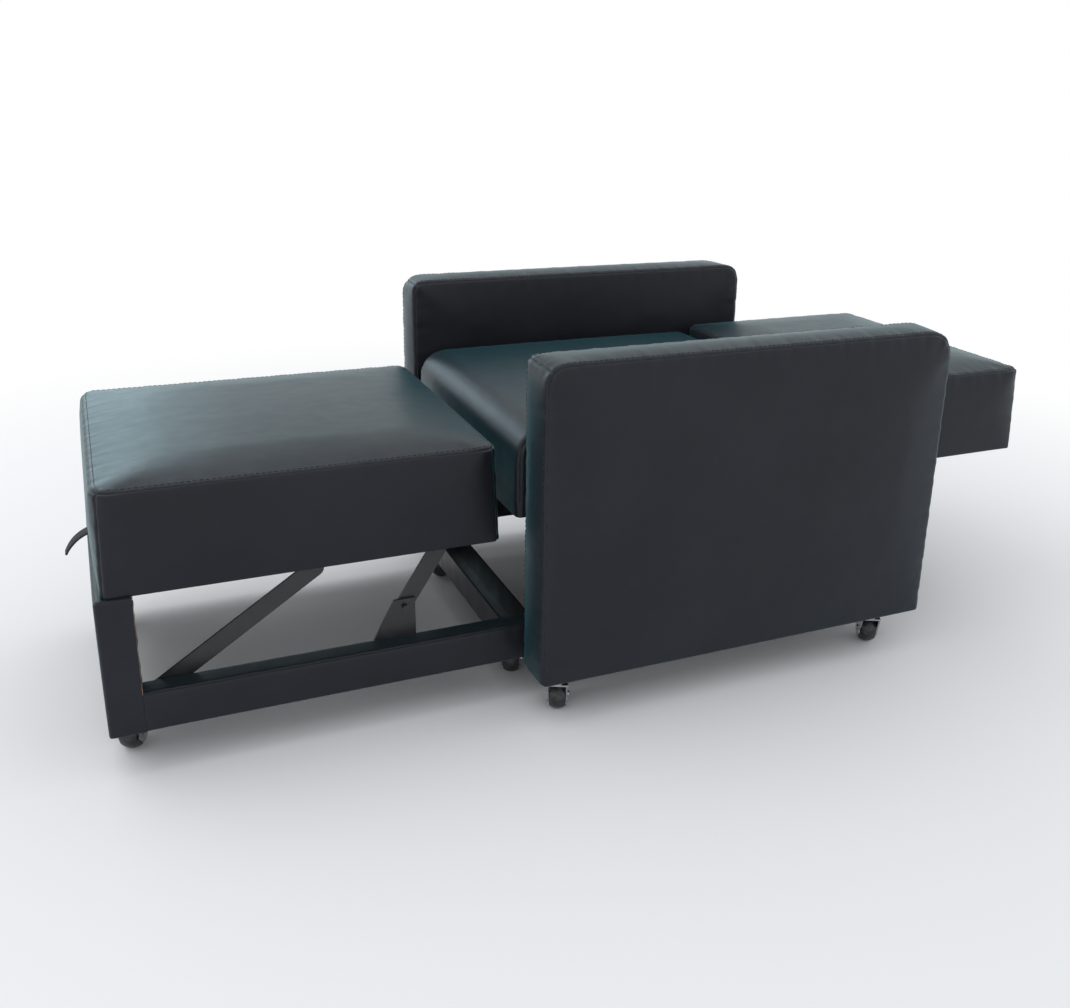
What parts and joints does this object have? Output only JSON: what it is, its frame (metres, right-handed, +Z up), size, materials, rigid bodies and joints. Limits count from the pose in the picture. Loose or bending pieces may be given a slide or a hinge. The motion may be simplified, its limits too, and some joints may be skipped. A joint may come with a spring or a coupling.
{
  "type": "convertible chair bed",
  "caption": "Armchair on casters that pulls out into a narrow bed: a foot trolley rolls out from between two arms while the back folds down flat.",
  "frame": {"origin": "bottom centre of the whole object's box, on the floor, in the bed position", "axes": "+Z up, -Y towards the bed's foot (the chair's front), +X to the right seen from the front looking at +Y"},
  "size_m": [0.728, 1.59, 0.56],
  "materials": {
    "leatherette": "soft sheen, fine grain, black with a blue-grey cast",
    "foam": "matte",
    "timber": "sawn",
    "plywood": "bare plywood",
    "black_steel": "satin black paint",
    "bright_steel": "zinc plated",
    "caster_chrome": "polished",
    "caster_wheel": "semi gloss",
    "strap_webbing": "woven webbing"
  },
  "bodies": {
    "base": {"arm_cover_left": "leatherette", "arm_cover_right": "leatherette", "arm_foam_left": "foam", "arm_foam_right": "foam", "arm_frame_left": "timber", "arm_frame_right": "timber", "seat_ledges": "black_steel", "rear_panel_board": "plywood", "rear_panel_cover": "leatherette", "rear_angles": "black_steel", "arm_side_screws": "bright_steel", "arm_caster_plates": "bright_steel", "arm_caster_screws": "bright_steel"},
    "trolley": {"fascia_cover": "leatherette", "fascia_board": "plywood", "rail_covers": "leatherette", "rail_cores": "timber", "rear_cross_member": "black_steel", "diagonal_braces": "black_steel", "rear_struts": "black_steel", "gusset_plates": "black_steel", "cross_bars": "black_steel", "brace_bolts": "bright_steel", "pivot_uprights": "black_steel", "pivot_pins": "bright_steel", "front_cushion_cover": "leatherette", "front_cushion_foam": "foam", "front_cushion_board": "plywood", "pull_strap": "strap_webbing", "trolley_caster_plates": "bright_steel", "trolley_caster_screws": "bright_steel"},
    "middle_section": {"back_cushion_cover": "leatherette", "back_cushion_foam": "foam", "back_cushion_board": "plywood", "back_brackets": "black_steel", "back_lugs": "black_steel", "hinge_leaves_back": "black_steel", "hinge_pins": "bright_steel"},
    "head_section": {"head_cushion_cover": "leatherette", "head_cushion_foam": "foam", "head_cushion_board": "plywood", "head_lugs": "black_steel", "hinge_leaves_head": "black_steel"},
    "arm_caster_front_left": {"arm_caster_hood_front_left": "caster_chrome"},
    "arm_wheel_front_left": {"arm_caster_wheel_front_left": "caster_wheel"},
    "arm_caster_front_right": {"arm_caster_hood_front_right": "caster_chrome"},
    "arm_wheel_front_right": {"arm_caster_wheel_front_right": "caster_wheel"},
    "arm_caster_rear_left": {"arm_caster_hood_rear_left": "caster_chrome"},
    "arm_wheel_rear_left": {"arm_caster_wheel_rear_left": "caster_wheel"},
    "arm_caster_rear_right": {"arm_caster_hood_rear_right": "caster_chrome"},
    "arm_wheel_rear_right": {"arm_caster_wheel_rear_right": "caster_wheel"},
    "trolley_caster_foot_left": {"trolley_caster_hood_foot_left": "caster_chrome"},
    "trolley_wheel_foot_left": {"trolley_caster_wheel_foot_left": "caster_wheel"},
    "trolley_caster_foot_right": {"trolley_caster_hood_foot_right": "caster_chrome"},
    "trolley_wheel_foot_right": {"trolley_caster_wheel_foot_right": "caster_wheel"},
    "trolley_caster_inner_left": {"trolley_caster_hood_inner_left": "caster_chrome"},
    "trolley_wheel_inner_left": {"trolley_caster_wheel_inner_left": "caster_wheel"},
    "trolley_caster_inner_right": {"trolley_caster_hood_inner_right": "caster_chrome"},
    "trolley_wheel_inner_right": {"trolley_caster_wheel_inner_right": "caster_wheel"}
  },
  "joints": [
    {"name": "trolley_slide", "type": "slide", "parent": "base", "child": "trolley", "axis": [0, 1, 0], "range_m": [0, 0.588]},
    {"name": "back_pivot", "type": "hinge", "parent": "trolley", "child": "middle_section", "pos_m": [0, -0.118, 0.37], "axis": [1, 0, 0], "range_deg": [0, 80]},
    {"name": "head_hinge", "type": "hinge", "parent": "middle_section", "child": "head_section", "pos_m": [0, 0.386, 0.296], "axis": [1, 0, 0], "range_deg": [-170, 0]},
    {"name": "arm_swivel_front_left", "type": "hinge", "parent": "base", "child": "arm_caster_front_left", "pos_m": [-0.322, -0.131, 0.023], "axis": [0, 0, 1], "continuous": true},
    {"name": "arm_roll_front_left", "type": "hinge", "parent": "arm_caster_front_left", "child": "arm_wheel_front_left", "pos_m": [-0.33458, -0.12486, 0.023], "axis": [0.4384, 0.8988, 0], "continuous": true},
    {"name": "arm_swivel_front_right", "type": "hinge", "parent": "base", "child": "arm_caster_front_right", "pos_m": [0.322, -0.131, 0.023], "axis": [0, 0, 1], "continuous": true},
    {"name": "arm_roll_front_right", "type": "hinge", "parent": "arm_caster_front_right", "child": "arm_wheel_front_right", "pos_m": [0.30942, -0.12486, 0.023], "axis": [0.4384, 0.8988, 0], "continuous": true},
    {"name": "arm_swivel_rear_left", "type": "hinge", "parent": "base", "child": "arm_caster_rear_left", "pos_m": [-0.322, 0.457, 0.023], "axis": [0, 0, 1], "continuous": true},
    {"name": "arm_roll_rear_left", "type": "hinge", "parent": "arm_caster_rear_left", "child": "arm_wheel_rear_left", "pos_m": [-0.33458, 0.46314, 0.023], "axis": [0.4384, 0.8988, 0], "continuous": true},
    {"name": "arm_swivel_rear_right", "type": "hinge", "parent": "base", "child": "arm_caster_rear_right", "pos_m": [0.322, 0.457, 0.023], "axis": [0, 0, 1], "continuous": true},
    {"name": "arm_roll_rear_right", "type": "hinge", "parent": "arm_caster_rear_right", "child": "arm_wheel_rear_right", "pos_m": [0.30942, 0.46314, 0.023], "axis": [0.4384, 0.8988, 0], "continuous": true},
    {"name": "trolley_swivel_foot_left", "type": "hinge", "parent": "trolley", "child": "trolley_caster_foot_left", "pos_m": [-0.193, -0.737, 0.023], "axis": [0, 0, 1], "continuous": true},
    {"name": "trolley_roll_foot_left", "type": "hinge", "parent": "trolley_caster_foot_left", "child": "trolley_wheel_foot_left", "pos_m": [-0.20558, -0.73086, 0.023], "axis": [0.4384, 0.8988, 0], "continuous": true},
    {"name": "trolley_swivel_foot_right", "type": "hinge", "parent": "trolley", "child": "trolley_caster_foot_right", "pos_m": [0.193, -0.737, 0.023], "axis": [0, 0, 1], "continuous": true},
    {"name": "trolley_roll_foot_right", "type": "hinge", "parent": "trolley_caster_foot_right", "child": "trolley_wheel_foot_right", "pos_m": [0.18042, -0.73086, 0.023], "axis": [0.4384, 0.8988, 0], "continuous": true},
    {"name": "trolley_swivel_inner_left", "type": "hinge", "parent": "trolley", "child": "trolley_caster_inner_left", "pos_m": [-0.193, -0.158, 0.023], "axis": [0, 0, 1], "continuous": true},
    {"name": "trolley_roll_inner_left", "type": "hinge", "parent": "trolley_caster_inner_left", "child": "trolley_wheel_inner_left", "pos_m": [-0.20558, -0.15186, 0.023], "axis": [0.4384, 0.8988, 0], "continuous": true},
    {"name": "trolley_swivel_inner_right", "type": "hinge", "parent": "trolley", "child": "trolley_caster_inner_right", "pos_m": [0.193, -0.158, 0.023], "axis": [0, 0, 1], "continuous": true},
    {"name": "trolley_roll_inner_right", "type": "hinge", "parent": "trolley_caster_inner_right", "child": "trolley_wheel_inner_right", "pos_m": [0.18042, -0.15186, 0.023], "axis": [0.4384, 0.8988, 0], "continuous": true}
  ],
  "couplings": [
    {"joint": "back_pivot", "follows": "trolley_slide", "rad_per_m": 2.3745},
    {"joint": "head_hinge", "follows": "trolley_slide", "rad_per_m": -5.046}
  ]
}
